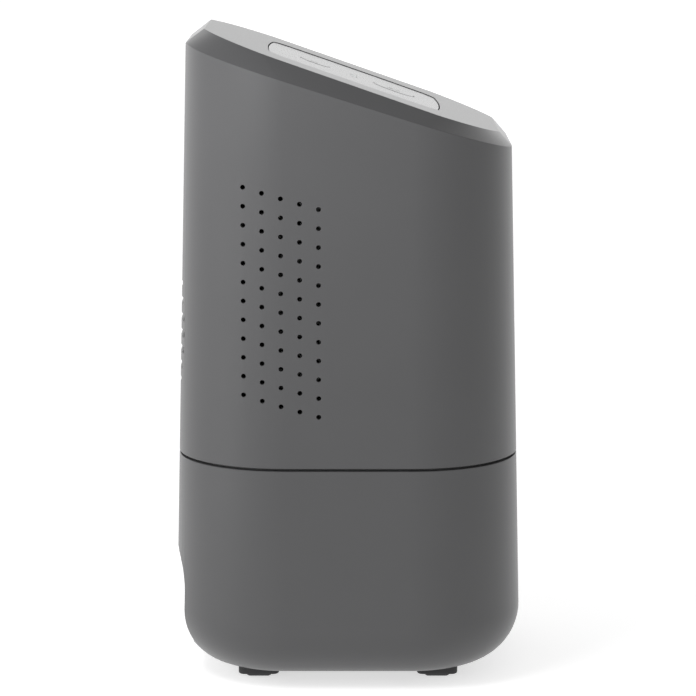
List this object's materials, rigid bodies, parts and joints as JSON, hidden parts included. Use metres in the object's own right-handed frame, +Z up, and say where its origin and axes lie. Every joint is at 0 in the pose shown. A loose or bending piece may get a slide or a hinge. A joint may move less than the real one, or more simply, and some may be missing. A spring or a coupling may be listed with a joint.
{
  "type": "dehumidifier",
  "caption": "Compact table-top dehumidifier: rounded square tower with sloped bevelled top, flush control panel, side vent holes and a rear pull-out water tank.",
  "frame": {"origin": "middle of the footprint, on the surface that the feet stand on", "axes": "+Z up, +Y to the rear (the high side, where the tank pulls out), +X to the right seen from the front"},
  "size_m": [0.1382, 0.1377, 0.2587],
  "materials": {
    "housing_abs": "spark-eroded satin",
    "panel_gloss": "polished",
    "key_plastic": "satin",
    "lens": "clear frosted",
    "smoke_tank": "smoke grey, translucent",
    "white_plastic": "moulded",
    "inner_plastic": "moulded",
    "black_plastic": "moulded",
    "rubber_black": "matt",
    "foam": "closed-cell foam",
    "aluminium": "extruded",
    "steel": "zinc plated",
    "brass": "plain",
    "ceramic": "alumina",
    "circuit_board": "solder resist",
    "magnet": "ferrite",
    "copper_winding": "enamelled",
    "glass": "clear",
    "wire_sleeve": "PVC"
  },
  "bodies": {
    "housing": {"upper_housing": "housing_abs", "base_housing": "housing_abs", "feet": "rubber_black", "housing_screws": "steel", "control_panel": "panel_gloss", "button_switches": "black_plastic", "indicator_lens": "lens", "status_leds": "lens", "button_board": "circuit_board", "button_board_screws": "steel", "machine_deck": "black_plastic", "drip_tray": "inner_plastic", "air_shroud": "inner_plastic", "hot_sink": "aluminium", "cold_sink": "aluminium", "peltier_module": "ceramic", "cooler_gasket": "foam", "clamp_screws": "steel", "fan_frame": "black_plastic", "fan_bearing": "brass", "motor_stator": "copper_winding", "fan_screws": "steel", "main_board": "circuit_board", "capacitors": "black_plastic", "terminal_blocks": "white_plastic", "power_transistor": "aluminium", "level_board": "circuit_board", "reed_switch": "glass", "dc_jack": "black_plastic", "jack_pin": "brass", "jack_leads": "wire_sleeve", "fan_lead": "wire_sleeve", "cooler_leads": "wire_sleeve", "panel_cable": "wire_sleeve"},
    "tank": {"water_tank": "smoke_tank"},
    "lid": {"tank_lid": "inner_plastic"},
    "float": {"tank_float": "white_plastic", "float_magnet": "magnet"},
    "impeller": {"fan_impeller": "black_plastic", "rotor_magnet": "magnet", "fan_shaft": "steel"},
    "power_key": {"power_button": "key_plastic"},
    "mode_key": {"mode_button": "key_plastic"}
  },
  "joints": [
    {"name": "tank_slide", "type": "slide", "parent": "housing", "child": "tank", "axis": [0, 1, 0], "range_m": [0, 0.118]},
    {"name": "lid_lift", "type": "slide", "parent": "tank", "child": "lid", "axis": [0, 0, 1], "range_m": [0, 0.003]},
    {"name": "float_rise", "type": "slide", "parent": "tank", "child": "float", "axis": [0, 0, 1], "range_m": [0, 0.02]},
    {"name": "fan_spin", "type": "hinge", "parent": "housing", "child": "impeller", "pos_m": [0, 0.045, 0.1385], "axis": [0, 1, 0], "continuous": true},
    {"name": "power_press", "type": "slide", "parent": "housing", "child": "power_key", "axis": [0, 0.3287, -0.9445], "range_m": [0, 0.0008], "stiffness_N_per_m": 900},
    {"name": "mode_press", "type": "slide", "parent": "housing", "child": "mode_key", "axis": [0, 0.3287, -0.9445], "range_m": [0, 0.0008], "stiffness_N_per_m": 900}
  ]
}
